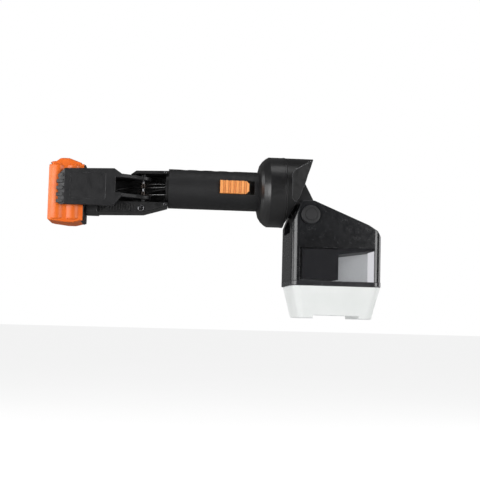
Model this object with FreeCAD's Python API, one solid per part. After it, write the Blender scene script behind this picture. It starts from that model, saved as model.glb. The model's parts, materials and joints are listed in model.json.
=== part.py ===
"""Compact cordless snow shovel: a hand grip with a clip-on battery at one end and a swivelling,
tilting rotor head at the other.

Frame: origin at the middle of the hand grip, on its axis. +X runs along the grip towards the head,
+Z is up and the head hangs below the grip axis, +Y completes the right-handed frame. All sizes are
in millimetres.
"""

import FreeCAD, Part
import math
import os

V = FreeCAD.Vector
X_AXIS, Y_AXIS, Z_AXIS = V(1, 0, 0), V(0, 1, 0), V(0, 0, 1)

# ---- driving dimensions ----------------------------------------------------------------------
FIT = 0.05          # running clearance on a radius
GAP = 0.3           # clearance between parts that move past each other
WALL = 2.5          # moulded wall

# battery pack: stands across the end of the tool, cells upright
PACK_X0, PACK_X1 = -201.0, -161.0
PACK_HALF_Y = 30.0
PACK_Z0, PACK_Z1 = -47.4, 24.5
PACK_BUMP_Z = 29.5
PACK_BASE_T = 4.0
SKIRT_T, SKIRT_X1 = 1.8, -158.6      # side walls of the shell that lap over the base
CELL_R, CELL_L, CELL_PITCH = 9.1, 65.0, 18.5
CELL_X0, CELL_X1 = -190.2, -171.6
CELL_Z0 = -43.4
CELL_END = 1.8      # room beyond each end of the cells
BULGE_R, BULGE_Y = 11.4, 19.5
TOWER_Z0, TOWER_Z1 = -33.0, 14.0
TOWER_NECK_Y, TOWER_HEAD_Y = 15.0, 18.5
TOWER_X = (-157.0, -153.6, -149.6)

# battery dock and neck
DOCK_X0, DOCK_X1 = -156.7, -141.0
DOCK_HALF_Y = 23.5
DOCK_Z0, DOCK_Z1 = -35.0, 15.0
LEAD_Y, LEAD_Z = (7.5, -7.5), -4.0   # where the two power leads leave the dock
NECK_X1 = -56.4
NECK_Y0, NECK_Y1 = -19.0, 21.5
SHELF_Z = -19.5     # top of the neck's lower beam

# latch lever
LEVER_X0, LEVER_X1 = -189.0, -120.0
LEVER_Z0, LEVER_Z1 = -27.5, 17.0
LEVER_Y0, LEVER_Y1 = -37.0, -33.0
ARM_T = 4.6
SLOT_Z0, SLOT_Z1 = -11.3, 7.3
LATCH_X, LATCH_Y = -87.0, -8.0
LATCH_PIN_R = 1.6
LATCH_BOSS_R = 9.5

# latch spring
SPRING_R, SPRING_WIRE_R = 3.3, 0.5
SPRING_COILS = ((-0.8, 3.6), (-9.6, -6.2))   # heights of the two coils on the pin
SPRING_LEGS = ((-1, -1.5, 1.2), (-1, -10.5, -8.4), (1, 4.4, 5.0))   # side, heights at pin and far end
SPRING_LEG_X1 = -49.0

# grip and slide switch
GRIP_X0, GRIP_X1 = -56.0, 60.0
GRIP_R = 24.5
GRIP_IN_R = GRIP_R - WALL
PARTING_Z = 1.8
DIP_PITCH, DIP_FIRST_X, DIP_R, DIP_DEPTH = 18.7, -35.6, 17.0, 1.3
SLOT_X0, SLOT_X1 = 6.2, 49.6
BUTTON_X0, BUTTON_X1 = 6.8, 42.4
BUTTON_H = 16.0
BUTTON_Y = -28.6
BUTTON_RIBS = 5
SLOT_HALF = 8.3
FLOOR_Y = -16.5      # floor of the switch recess
GRIP_SCREWS = ((-40.0, 11.0), (-12.0, 17.0))
GRIP_SCREW_Z = -14.0

# guard collar and swivel
COLLAR_R = 43.8
COLLAR_X0, COLLAR_X1 = 55.0, 85.4
COLLAR_FLARE = ((57.2, 33.5), (60.4, 38.2), (64.4, 41.8), (67.8, COLLAR_R))   # facets of its shoulder
RING_X1 = 87.6
HUB_R, SPIGOT_R, SPIGOT_BORE_R = 19.5, 14.0, 9.0
SPIGOT_X0 = 64.5
CLIP_X0, CLIP_X1 = 66.0, 67.4

# yoke hood
HOOD_X0 = 88.0
HOOD_R = 43.6
HOOD_TIP_X, HOOD_TIP_Z = 124.0, 44.0
CHEEK_X = 94.0      # where the flat cheeks start
CHEEK_Y = 36.0      # half-width of the cheeks there
CHEEK_ANGLE = 35.0  # degrees that each cheek runs inwards
CHEEK_LOW_Z = -14.6
EAR_Y0, EAR_Y1 = 14.5, 18.5
TILT_X, TILT_Z = 115.7, -31.3
BARREL_R = 16.8
AXLE_R = 4.0
AXLE_Y1 = 38.0

# head
HEAD_X0, HEAD_X1 = 94.0, 204.0
HEAD_HALF_Y = 50.0
HEAD_CORNER_R = 9.0
HEAD_WALL = 3.0
HEAD_Z0 = -111.0
ROOF_X0, ROOF_Z0 = 120.6, -14.0
ROOF_X1, ROOF_Z1 = 187.4, -41.4
LEFT_WALL_TOP_Z = -43.0
THROAT_X1, THROAT_HALF_Y, THROAT_Z0 = 143.0, 27.0, -52.0
WINDOW_X0, WINDOW_X1, WINDOW_Z1 = 103.5, 195.0, -70.7
LIP_T = 1.5
LIP_X0, LIP_X1 = 108.0, 190.0
MOUTH_Y0, MOUTH_Y1, MOUTH_Z1 = -38.0, 33.0, -66.0
BUTTON_R = 11.5     # tilt lock button
CUP_R = 14.6
CUP_FLOOR_Y = 29.5
TRAY_SCREWS = ((101.7, -42.3), (101.7, 42.3), (196.3, -42.3), (196.3, 42.3))

# drive
CASE_X0, CASE_X1 = 107.0, 151.5
CASE_HALF_Y = 45.2
CASE_Z0, CASE_Z1 = -109.0, -72.0
CASE_SCREWS = ((112.6, -77.6), (145.6, -77.6), (112.6, -103.4))
MOUNT_SCREW_X = (113.0, 137.0)
CHUTE_Z0, CHUTE_Z1 = -78.6, -71.2   # underside of the chute ceiling at its two ends
CHUTE_FLANGE_Z = -69.0
MOTOR_X, MOTOR_Z = 126.0, -90.5
MOTOR_R = 15.6
MOTOR_Y0, MOTOR_Y1 = -30.0, 27.0
SHAFT_R = 1.6
ROTOR_X, ROTOR_Z = 150.0, -134.0
ROTOR_R, ROTOR_HUB_R = 20.0, 6.0
ROTOR_Y0, ROTOR_Y1 = -38.5, 29.5
ROTOR_SHAFT_R = 3.0
PULLEY_SMALL_R, PULLEY_BIG_R = 6.0, 12.0
PULLEY_Y0, PULLEY_Y1 = 34.2, 39.0
BELT_T = 1.4

# rotor tray and rim
RIM_Z0 = -117.0
TRAY_Z0 = -152.0
FOOT_Z0 = -156.0
TRAY_INSET_X, TRAY_INSET_Y = 9.0, 7.5   # how far the tray tapers in at its floor
TRAY_WALL = 2.6
TRAY_X0 = 96.0
TRAY_MOUTH_X0, TRAY_MOUTH_X1 = 122.0, 178.0
TRAY_POST_Z = -124.0
PARTITION_Y = (-41.5, 30.5)
BEARING_R = 6.0


# ---- helpers ---------------------------------------------------------------------------------
def box(x0, x1, y0, y1, z0, z1):
    return Part.makeBox(x1 - x0, y1 - y0, z1 - z0, V(x0, y0, z0))


def rod(start, end, radius):
    """A cylinder from start to end."""
    along = V(*end) - V(*start)
    return Part.makeCylinder(radius, along.Length, V(*start), along)


def tube(start, end, outer, inner):
    return rod(start, end, outer).cut(rod(start, end, inner))


def wire_of(points):
    return Part.makePolygon([V(*p) for p in points] + [V(*points[0])])


def prism_xz(points, y0, y1):
    """A prism whose outline is given in the XZ plane."""
    face = Part.Face(wire_of([(x, y0, z) for x, z in points]))
    return face.extrude(V(0, y1 - y0, 0))


def prism_xy(points, z0, z1):
    """A prism whose outline is given in the XY plane."""
    face = Part.Face(wire_of([(x, y, z0) for x, y in points]))
    return face.extrude(V(0, 0, z1 - z0))


def rounded_wire(x0, x1, y0, y1, r, z):
    """A rectangle with round corners in a plane of constant z."""
    k = r * (1 - math.sqrt(0.5))
    corners = [
        (V(x0, y0 + r, z), V(x0 + k, y0 + k, z), V(x0 + r, y0, z)),
        (V(x1 - r, y0, z), V(x1 - k, y0 + k, z), V(x1, y0 + r, z)),
        (V(x1, y1 - r, z), V(x1 - k, y1 - k, z), V(x1 - r, y1, z)),
        (V(x0 + r, y1, z), V(x0 + k, y1 - k, z), V(x0, y1 - r, z)),
    ]
    edges = []
    for i, (a, m, b) in enumerate(corners):
        edges.append(Part.Arc(a, m, b).toShape())
        edges.append(Part.makeLine(b, corners[(i + 1) % 4][0]))
    return Part.Wire(edges)


def rounded_box(x0, x1, y0, y1, z0, z1, r):
    """A box whose upright edges are rounded."""
    return Part.Face(rounded_wire(x0, x1, y0, y1, r, z0)).extrude(V(0, 0, z1 - z0))


def rounded_loft(bottom, top):
    """A closed loft between two rounded rectangles, each given as rounded_wire's arguments."""
    return Part.makeLoft([rounded_wire(*bottom), rounded_wire(*top)], True, True)


def revolve_x(edges):
    """The solid swept by a closed profile turning about the X axis."""
    return Part.Face(Part.Wire(edges)).revolve(V(0, 0, 0), X_AXIS, 360)


def lines_xr(points):
    """Line edges through (x, radius) points."""
    at = [V(x, 0, r) for x, r in points]
    return [Part.makeLine(a, b) for a, b in zip(at, at[1:])]


def fuse(shapes):
    return shapes[0].multiFuse(shapes[1:]).removeSplitter() if len(shapes) > 1 else shapes[0]


def group(shapes):
    """Separate solids kept side by side in one part."""
    return Part.makeCompound(shapes)


def fillet(shape, radius, keep):
    """Rounds the edges whose middle point satisfies keep(point)."""
    edges = [e for e in shape.Edges if keep(e.CenterOfMass)]
    return shape.makeFillet(radius, edges)


def screw(head_at, direction, head_r, head_t, shank_r, length):
    """A pan-head screw with a cross recess. head_at is the underside of the head, direction the
    way it is driven."""
    at, d = V(*head_at), V(*direction).normalize()
    top = at - d * head_t
    head = Part.makeCylinder(head_r, head_t, top, d)
    rim = [e for e in head.Edges if abs((e.CenterOfMass - top).dot(d)) < 1e-6]
    head = head.makeFillet(head_t * 0.45, [e for e in rim if e.Curve.TypeId == "Part::GeomCircle"])
    shank = Part.makeCylinder(shank_r, length, at, d)
    side = d.cross(Z_AXIS if abs(d.z) < 0.9 else X_AXIS).normalize()
    body = head.fuse(shank)
    for arm in (side, d.cross(side)):
        slot = Part.makeBox(head_r * 1.1, 0.7, head_t * 0.6)
        slot.translate(V(-head_r * 0.55, -0.35, 0))
        frame = FreeCAD.Rotation(arm, d.cross(arm), d, "ZXY")
        slot.Placement = FreeCAD.Placement(top, frame).multiply(slot.Placement)
        body = body.cut(slot)
    return body


# ---- battery pack ----------------------------------------------------------------------------
def pack_outline():
    """Side outline of the orange shell: a low hump on the top face, a shallow belly below."""
    x0, x1, z0, z1 = PACK_X0, PACK_X1, PACK_Z0, PACK_Z1
    return [
        (x0, z0 + 2), (x0 + 1.8, z1), (x0 + 9, z1 + 1),
        (x0 + 13.5, PACK_BUMP_Z - 0.6), (x0 + 16, PACK_BUMP_Z),
        (x0 + 24, PACK_BUMP_Z), (x0 + 26.5, PACK_BUMP_Z - 0.8),
        (x1 - 1, z1 - 0.2), (x1, z1 - 2), (x1, z0 + 1.5),
        (x1 - 5, z0), (x1 - 9, z0 - 1), (x1 - 18, z0 - 1), (x0 + 5, z0 + 1),
    ]


def battery_shell():
    half = PACK_HALF_Y - 1.5
    body = prism_xz(pack_outline(), -half, half)
    body = fillet(body, 5.0, lambda p: p.x < PACK_X0 + 1 and abs(p.y) > half - 0.1
                  and abs(p.z + 10) < 8)
    body = fillet(body, 2.0, lambda p: p.x < PACK_X1 - 0.1 and abs(p.y) > half - 5.1
                  and abs(p.z + 10) > 25)
    bulges = [
        Part.makeCylinder(BULGE_R, PACK_Z1 - PACK_Z0 - 5, V(x, side * BULGE_Y, PACK_Z0 + 2.5))
        for x in (CELL_X0, CELL_X1 + 0.6) for side in (-1, 1)
    ]
    limit = box(PACK_X0, PACK_X1, -PACK_HALF_Y - 1, PACK_HALF_Y + 1, PACK_Z0 - 5, PACK_Z1 + 10)
    bulges = [b.makeFillet(2.0, b.Edges[:1] + b.Edges[2:3]).common(limit) for b in bulges]
    body = fuse([body] + bulges)
    inner_y = PACK_HALF_Y - 2.3
    cavity = box(PACK_X0 + 1.6, PACK_X1, -inner_y, inner_y, CELL_Z0 - CELL_END, CELL_Z0 + CELL_L + CELL_END)
    cavity = fillet(cavity, 3.0, lambda p: p.x < PACK_X0 + 2 and abs(p.z + 11) < 1)
    posts = [box(-179.5, PACK_X1, -5, 5, z0, z1) for z0, z1 in post_heights()]
    skirts = [box(PACK_X1 - 0.5, SKIRT_X1, min(y, y + t), max(y, y + t), PACK_Z0 + 1.5, PACK_Z1 - 2)
              for y, t in ((half, -SKIRT_T), (-half, SKIRT_T))]
    body = body.cut(cavity).fuse(posts + skirts)
    for z in pack_screw_heights():
        body = body.cut(rod((-178, 0, z), (PACK_X1, 0, z), 1.2))
    return body.removeSplitter()


def post_heights():
    """Heights of the two screw posts, one at each end of the empty sixth cell place."""
    top = CELL_Z0 + CELL_L + CELL_END
    return ((CELL_Z0 - CELL_END, CELL_Z0 + 7), (top - 9.6, top))


def pack_screw_heights():
    return [(a + b) / 2 for a, b in post_heights()]


def battery_base():
    half, z0, z1 = PACK_HALF_Y - 1.5, PACK_Z0 + 1.5, PACK_Z1 - 2.0
    inner = half - SKIRT_T - 0.1
    plug = box(PACK_X1, SKIRT_X1, -inner, inner, z0, z1)
    plate = box(SKIRT_X1, PACK_X1 + PACK_BASE_T, -half + 0.4, half - 0.4, z0 + 0.4, z1 - 0.4)
    plate = fillet(plate, 3.0, lambda p: abs(p.y) > half - 1 and abs(p.z + 11) > 30).fuse(plug)
    x0, x1, x2 = TOWER_X
    neck = box(x0, x1, -TOWER_NECK_Y, TOWER_NECK_Y, TOWER_Z0, TOWER_Z1)
    head = box(x1, x2, -TOWER_HEAD_Y, TOWER_HEAD_Y, TOWER_Z0, TOWER_Z1)
    body = fuse([plate, neck, head])
    for y in TERMINAL_Y:
        body = body.cut(box(PACK_X1 - 1, x2 - 0.8, y - 1.6, y + 1.6, TOWER_Z0 - 1, -8))
    for z in pack_screw_heights():
        body = body.cut(rod((PACK_X1 - 1, 0, z), (x2 + 1, 0, z), 1.6))
        body = body.cut(rod((PACK_X1 + 2.2, 0, z), (x2 + 1, 0, z), 3.2))
    return body


TERMINAL_Y = (-9.0, 0.0, 9.0)


def cell_places():
    """Centres of the five cells; the sixth place holds the screw posts and the circuit board."""
    outer = [(CELL_X0, y) for y in (-CELL_PITCH, 0, CELL_PITCH)]
    inner = [(CELL_X1, y) for y in (-CELL_PITCH, CELL_PITCH)]
    return outer + inner


def battery_cells():
    cells = []
    for x, y in cell_places():
        cell = Part.makeCylinder(CELL_R, CELL_L - 1.2, V(x, y, CELL_Z0))
        cells.append(cell.fuse(Part.makeCylinder(3.0, 1.2, V(x, y, CELL_Z0 + CELL_L - 1.2))))
    return group(cells)


def cell_straps():
    """Nickel straps that join neighbouring cells end to end."""
    low, high = CELL_Z0 - 0.3, CELL_Z0 + CELL_L
    y = CELL_PITCH
    return group([
        box(CELL_X0 - 3, CELL_X1 + 3, -y - 3, -y + 3, low, low + 0.3),
        box(CELL_X0 - 3, CELL_X1 + 3, y - 3, y + 3, low, low + 0.3),
        box(CELL_X0 - 3, CELL_X0 + 3, -y - 3, 3, high, high + 0.3),
    ])


def cell_spacers():
    """Two moulded plates that hold the cell ends."""
    plates = []
    for z in (CELL_Z0 - 1.6, CELL_Z0 + CELL_L + 0.4):
        plate = box(PACK_X0 + 2.8, PACK_X1 - 1.5, -26.2, 26.2, z, z + 1.2)
        plates.append(plate.cut(box(-180, PACK_X1, -6, 6, z - 1, z + 3)))
    return group(plates)


def battery_board():
    return box(PACK_X1 - 2.4, PACK_X1 - 0.8, -12, 12, -32, 10)


def battery_terminals():
    """Spring clips on the board, reaching through the base into the tower's slots."""
    clips = []
    for y in TERMINAL_Y:
        for side in (-1, 1):
            leaf_y = y + side * 1.0
            clips.append(box(PACK_X1 - 0.8, TOWER_X[2] - 1.2, leaf_y - 0.25, leaf_y + 0.25, -26, -10))
    return group(clips)


def battery_screws():
    x = PACK_X1 + 2.2
    return group([screw((x, 0, z), (-1, 0, 0), 3.0, 1.8, 1.15, 12) for z in pack_screw_heights()])


# ---- dock, neck and latch --------------------------------------------------------------------
def battery_dock():
    body = rounded_box(DOCK_X0, DOCK_X1, -DOCK_HALF_Y, DOCK_HALF_Y, DOCK_Z0, DOCK_Z1, 2.0)
    body = fillet(body, 1.0, lambda p: min(p.z - DOCK_Z0, DOCK_Z1 - p.z) < 0.01)
    x1, x2 = TOWER_X[1], TOWER_X[2]
    floor = TOWER_Z0 - 0.4
    throat = box(DOCK_X0 - 1, x1, -TOWER_NECK_Y - GAP, TOWER_NECK_Y + GAP, floor, DOCK_Z1 + 1)
    channel = box(x1 - GAP, x2 + GAP, -TOWER_HEAD_Y - GAP, TOWER_HEAD_Y + GAP, floor, DOCK_Z1 + 1)
    body = body.cut(throat).cut(channel)
    for y in LEAD_Y:
        body = body.cut(rod((x2, y, LEAD_Z), (DOCK_X1 + 1, y, LEAD_Z), 2.2))
    return body


def dock_terminals():
    """Blades that stand in the tower's slots, on a bar let into the dock's floor."""
    return group([box(-153.4, -151.0, y - 0.5, y + 0.5, TOWER_Z0 - 0.4, -13) for y in TERMINAL_Y])


def neck_outline():
    """Side outline of the neck, deepest where it meets the dock."""
    return [(DOCK_X1, -34.0), (-86.0, -32.4), (NECK_X1, -23.6), (NECK_X1, 20.0), (-96.0, 18.8),
            (-103.0, 13.5), (DOCK_X1, 13.5)]


def neck_frame():
    body = prism_xz(neck_outline(), NECK_Y0, NECK_Y1)
    body = fillet(body, 1.2, lambda p: min(p.y - NECK_Y0, NECK_Y1 - p.y) < 0.01
                  and DOCK_X1 < p.x < NECK_X1)
    pocket = [(DOCK_X1 + 3.5, SHELF_Z), (NECK_X1 + 1, SHELF_Z), (NECK_X1 + 1, 16.2), (-95.0, 15.0),
              (-101.5, 9.6), (DOCK_X1 + 3.5, 9.6)]
    body = body.cut(prism_xz(pocket, NECK_Y0 - 1, NECK_Y1 - 3.5))
    body = body.cut(box(DOCK_X1 + 3.5, -96.5, NECK_Y0 - 1, -9, 6.5, 14))
    cavity = [(DOCK_X1 + 3, -31.2), (-86.0, -29.6), (-70.0, -24.8), (-70.0, -22.0),
              (DOCK_X1 + 3, -22.0)]
    body = body.cut(prism_xz(cavity, NECK_Y0 + 3.2, NECK_Y1 + 1))
    spigot = tube((NECK_X1 - 3, 0, 0), (-48, 0, 0), GRIP_IN_R - 0.1, GRIP_IN_R - 3)
    body = body.fuse(spigot)
    for x in rib_places():
        body = body.cut(box(x, x + 1.5, NECK_Y0 - 1, NECK_Y0 + 1.0, -31.0, -22.4))
    body = body.cut(rod((LATCH_X, LATCH_Y, -24), (LATCH_X, LATCH_Y, 30), LATCH_PIN_R))
    for y in LEAD_Y:
        body = body.cut(rod((DOCK_X1 - 1, y, LEAD_Z), (DOCK_X1 + 5, y, LEAD_Z), 2.2))
    for x, z in NECK_SCREWS:
        body = body.cut(rod((x, NECK_Y0 - 1, z), (x, NECK_Y0 + 9, z), 1.2))
    return body


NECK_SCREWS = ((-89.0, -27.4), (-60.2, 18.0), (-60.2, -21.3))


def rib_places():
    """Left edges of the grooves that corrugate the lower beam."""
    return [DOCK_X1 + 3.5 + 3.2 * i for i in range(13)]


def neck_screws():
    big, small = 3.8, 1.7
    screws = []
    for i, (x, z) in enumerate(NECK_SCREWS):
        r = small if i else big
        screws.append(screw((x, NECK_Y0, z), (0, 1, 0), r, r * 0.5, 1.15, 7))
    return group(screws)


def latch_pin():
    return rod((LATCH_X, LATCH_Y, -23.9), (LATCH_X, LATCH_Y, 18.9), LATCH_PIN_R)


def arm_outline():
    """One fork arm seen from above: it leaves the plate and curves back to the pivot."""
    x, y, r = LATCH_X, LATCH_Y, LATCH_BOSS_R
    front = [(LEVER_X1 - 6, LEVER_Y0), (LEVER_X1 + 6, LEVER_Y0)]
    outer = [(x - 10 + r * 0.2, y - r - 7.5), (x + 1, y - r)]
    angles = [math.radians(d) for d in range(-80, 111, 10)]
    boss = [(x + r * math.cos(a), y + r * math.sin(a)) for a in angles]
    inner = [(x - r * 0.95, y + 3), (x - 14, y - 6), (LEVER_X1 + 10, LEVER_Y1 + 6), (LEVER_X1 - 6, LEVER_Y1)]
    return front + outer + boss + inner


def latch_lever():
    z0, z1 = LEVER_Z0, LEVER_Z1
    arm_z0, arm_z1 = SLOT_Z0 - ARM_T, SLOT_Z1 + ARM_T
    x0, x1, x2 = LEVER_X0, LEVER_X1, LEVER_X1 + 7
    outline = [(x0, z0 + 2), (x0 + 3, z0), (x1 - 2, z0), (x2, arm_z0), (x2, SLOT_Z0), (x1, SLOT_Z0),
               (x1, SLOT_Z1), (x2, SLOT_Z1), (x2, arm_z1), (x1 - 2, z1 + 1), (x0 + 8, z1 - 1),
               (x0, z1 - 9)]
    plate = prism_xz(outline, LEVER_Y0, LEVER_Y1)
    plate = fillet(plate, 1.0, lambda p: abs(p.y - LEVER_Y0) < 0.01 and p.x < x2 - 0.1)
    ramp = [(x0 - 1, LEVER_Y0 - 1), (x0 + 8, LEVER_Y0 - 1), (x0 + 8, LEVER_Y0), (x0, LEVER_Y1 - 1.2),
            (x0 - 1, LEVER_Y1 - 1.2)]
    plate = plate.cut(prism_xy(ramp, z0 - 1, z1 + 1))
    panel = box(x0 + 15, x1 - 12, LEVER_Y0 - 1, LEVER_Y0 + 0.5, z0 + 7.5, z1 - 5.5)
    plate = plate.cut(fillet(panel, 2.0, lambda p: abs(p.y - LEVER_Y0 + 0.25) < 0.1))
    body = fuse([plate, fork_arm(arm_z0), fork_arm(SLOT_Z1)] + lever_ribs())
    for z in rib_heights()[1:]:
        body = body.cut(box(x0 - 3, x0 + 0.8, LEVER_Y0 - 1, LEVER_Y1 + 1, z - 5.4, z - 2.8))
    for z0, z1 in ((-19.3, arm_z0), (arm_z1, 14.9)):
        body = body.fuse(rod((LATCH_X, LATCH_Y, z0), (LATCH_X, LATCH_Y, z1), 3.6))
    bore = rod((LATCH_X, LATCH_Y, -30), (LATCH_X, LATCH_Y, 30), LATCH_PIN_R + FIT)
    return body.cut(bore).removeSplitter()


def fork_arm(z0):
    """One arm of the fork, with its long edges rounded."""
    z1 = z0 + ARM_T
    arm = prism_xy(arm_outline(), z0, z1)
    return fillet(arm, 0.8, lambda p: min(p.z - z0, z1 - p.z) < 0.01 and p.x > LEVER_X1 - 5)


def rib_heights():
    """Middles of the five thumb ribs, from the lowest up."""
    return [LEVER_Z0 + 3.6 + 8.0 * i for i in range(5)]


def lever_ribs():
    """Thumb ribs across the sloping end."""
    ribs = []
    for i, z in enumerate(rib_heights()):
        x = LEVER_X0 - 1.4 if i < 4 else LEVER_X0 + 2.0
        outline = [(x, LEVER_Y1 - 0.4), (x, LEVER_Y1 - 2.6), (LEVER_X0 + 6.0, LEVER_Y0 - 0.8),
                   (LEVER_X0 + 8.0, LEVER_Y0 + 0.4), (LEVER_X0 + 8.0, LEVER_Y1), (x + 1, LEVER_Y1)]
        ribs.append(prism_xy(outline, z - 1.9, z + 1.9))
    return ribs


def latch_pad():
    """Rubber pad that bears on the pack."""
    y0, y1 = LEVER_Y1, LEVER_Y1 + 1.6
    pad = box(LEVER_X0 + 12, LEVER_X1 - 44, y0, y1, LEVER_Z0 + 8, LEVER_Z1 - 8)
    return fillet(pad, 3.0, lambda p: abs(p.y - (y0 + y1) / 2) < 0.01)


def latch_spring():
    """Torsion spring: two coils as sleeves on the pin, and three straight legs that run into the grip."""
    parts = []
    for z0, z1 in SPRING_COILS:
        low, high = (LATCH_X, LATCH_Y, z0), (LATCH_X, LATCH_Y, z1)
        parts.append(tube(low, high, SPRING_R + 0.6, SPRING_R - 0.6))
    for side, z0, z1 in SPRING_LEGS:
        y = LATCH_Y + side * SPRING_R
        parts.append(rod((LATCH_X, y, z0), (SPRING_LEG_X1, y, z1), SPRING_WIRE_R))
    return group(parts)


def power_leads():
    """The two insulated leads from the dock through the neck into the grip."""
    leads = []
    for y in LEAD_Y:
        straight = [(DOCK_X1 + d, y, LEAD_Z) for d in (-6, 0, 6)]
        bend = [(DOCK_X1 + 13, y * 0.9 + 0.6, LEAD_Z), (-112, 9 + y * 0.3, -4 + y * 0.5)]
        end = [(-86, 8 + y * 0.3, -2 + y * 0.5), (-60, 3 + y * 0.3, -1), (-34, y * 0.25, -6)]
        leads.append(cable(straight + bend + end, 1.3))
    return group(leads)


# ---- grip and slide switch -------------------------------------------------------------------
def grip_shell(z0, z1):
    """The grip's tubular shell between two heights, with the slot for the switch in its side."""
    body = tube((GRIP_X0, 0, 0), (GRIP_X1, 0, 0), GRIP_R, GRIP_IN_R)
    body = body.common(box(GRIP_X0, GRIP_X1, -GRIP_R, GRIP_R, z0, z1))
    low, high = PARTING_Z - SLOT_HALF, PARTING_Z + SLOT_HALF
    return body.cut(box(SLOT_X0, SLOT_X1, -GRIP_R - 1, -10, low, high))


def inside_grip():
    """The space that the screw bosses must stay in."""
    return rod((GRIP_X0, 0, 0), (GRIP_X1, 0, 0), GRIP_R - 1)


def grip_shell_top():
    body = grip_shell(PARTING_Z, GRIP_R)
    for i in range(4):
        x = DIP_FIRST_X + i * DIP_PITCH
        z = GRIP_R - DIP_DEPTH + DIP_R
        body = body.cut(rod((x, -GRIP_R, z), (x, GRIP_R, z), DIP_R))
    for x, y in GRIP_SCREWS:
        boss = tube((x, y, PARTING_Z), (x, y, 25), 3.6, 1.2)
        body = body.fuse(boss.common(inside_grip()))
    return body.removeSplitter()


def grip_shell_bottom():
    body = grip_shell(-GRIP_R, PARTING_Z)
    for x, y in GRIP_SCREWS:
        boss = rod((x, y, -24), (x, y, PARTING_Z), 4.6)
        body = body.fuse(boss.common(inside_grip())).cut(rod((x, y, -26), (x, y, GRIP_SCREW_Z), 3.2))
        body = body.cut(rod((x, y, -26), (x, y, 5), 1.6))
    return body.removeSplitter()


def grip_screws():
    places = [(x, y, GRIP_SCREW_Z) for x, y in GRIP_SCREWS]
    return group([screw(p, (0, 0, 1), 3.0, 1.8, 1.15, 14) for p in places])


def switch_frame():
    """Liner behind the slot: side walls, and a floor with a slit for the slider's carrier."""
    low, high, w = PARTING_Z - SLOT_HALF, PARTING_Z + SLOT_HALF, 2.4
    body = box(SLOT_X0 - w, SLOT_X1 + w, -GRIP_IN_R, FLOOR_Y + w, low - w, high + w)
    body = body.common(rod((0, 0, 0), (GRIP_X1, 0, 0), GRIP_IN_R))
    body = body.cut(box(SLOT_X0, SLOT_X1, -GRIP_R, FLOOR_Y, low, high))
    return body.cut(box(15.5, 39.0, FLOOR_Y - 1, FLOOR_Y + 3, PARTING_Z - 3.2, PARTING_Z + 3.2))


def slide_switch():
    h = BUTTON_H / 2
    x1 = BUTTON_X1
    outline = [(BUTTON_X0, PARTING_Z - h), (x1 - 3.5, PARTING_Z - h), (x1, PARTING_Z - h + 3.5),
               (x1, PARTING_Z + h - 3.5), (x1 - 3.5, PARTING_Z + h), (BUTTON_X0, PARTING_Z + h)]
    body = prism_xz(outline, BUTTON_Y - 1, FLOOR_Y - 0.08)
    body = body.common(rod((0, 0, PARTING_Z), (GRIP_X1, 0, PARTING_Z), -BUTTON_Y))
    for i in range(BUTTON_RIBS):
        x = BUTTON_X0 + 3.6 + 6.4 * i
        ring = tube((x, 0, PARTING_Z), (x + 3.4, 0, PARTING_Z), -BUTTON_Y + 2, -BUTTON_Y - 1.3)
        body = body.cut(ring)
    return body


def switch_carrier():
    """Foot under the slider; it carries the magnet that the switch module senses."""
    return box(16.5, 30.5, FLOOR_Y - 0.08, FLOOR_Y + 2.2, PARTING_Z - 2.8, PARTING_Z + 2.8)


def switch_module():
    return box(14.0, 40.0, FLOOR_Y + 2.4, -4.0, -6.5, 8.5)


def control_board():
    board = box(-33.0, 10.0, -2.0, 12.0, -13.6, -12.0)
    chips = [box(-28, -18, 0, 8, -12, -7), box(-14, -6, 1, 9, -12, -9)]
    return fuse([board, rod((2, 5, -12), (2, 5, -2), 4.0)] + chips)


def cable(points, radius):
    """A round cable through the given points."""
    path = Part.BSplineCurve()
    path.interpolate([V(*p) for p in points])
    start = path.tangent(path.FirstParameter)[0]
    ring = Part.Wire([Part.makeCircle(radius, V(*points[0]), start)])
    return Part.Wire([path.toShape()]).makePipeShell([ring], True, True)


def motor_leads():
    """The cable from the control board to the swivel."""
    return cable([(10.4, 6, -9), (24, 8, -7), (44, 4, -2), (56, 0, 0), (63.5, 0, 0)], 2.6)


# ---- guard collar ----------------------------------------------------------------------------
def guard_collar():
    r = COLLAR_R
    flare = [(COLLAR_X0, 0), (COLLAR_X0, GRIP_R + 0.9)] + list(COLLAR_FLARE)
    outside = revolve_x(lines_xr(flare + [(COLLAR_X1, r), (COLLAR_X1, 0), (COLLAR_X0, 0)]))
    inner = lines_xr([(62.8, 0), (62.8, 34.0), (69.6, r - WALL), (COLLAR_X1 + 1, r - WALL),
                      (COLLAR_X1 + 1, 0), (62.8, 0)])
    body = outside.cut(revolve_x(inner))
    body = body.cut(rod((COLLAR_X0 - 1, 0, 0), (GRIP_X1, 0, 0), GRIP_R))
    body = body.fuse(rod((62.8, 0, 0), (RING_X1, 0, 0), HUB_R))
    for i in range(6):
        web = box(62.8, 80.0, -1.2, 1.2, HUB_R - 1, r - WALL + 0.5)
        web.rotate(V(0, 0, 0), X_AXIS, 60 * i)
        body = body.fuse(web.common(outside))
    body = body.cut(rod((50, 0, 0), (70, 0, 0), SPIGOT_BORE_R))
    body = body.cut(rod((63.8, 0, 0), (CLIP_X1 + 0.4, 0, 0), SPIGOT_R + 3.0))
    return body.cut(rod((63.8, 0, 0), (RING_X1 + 1, 0, 0), SPIGOT_R + FIT)).removeSplitter()


def collar_ring():
    """Trim ring on the collar's open end."""
    ring = tube((COLLAR_X1, 0, 0), (RING_X1, 0, 0), COLLAR_R + 0.3, COLLAR_R - WALL - 2)
    lip = tube((COLLAR_X1 - 2, 0, 0), (COLLAR_X1, 0, 0), COLLAR_R - WALL, COLLAR_R - WALL - 2)
    return ring.fuse(lip).removeSplitter()


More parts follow.
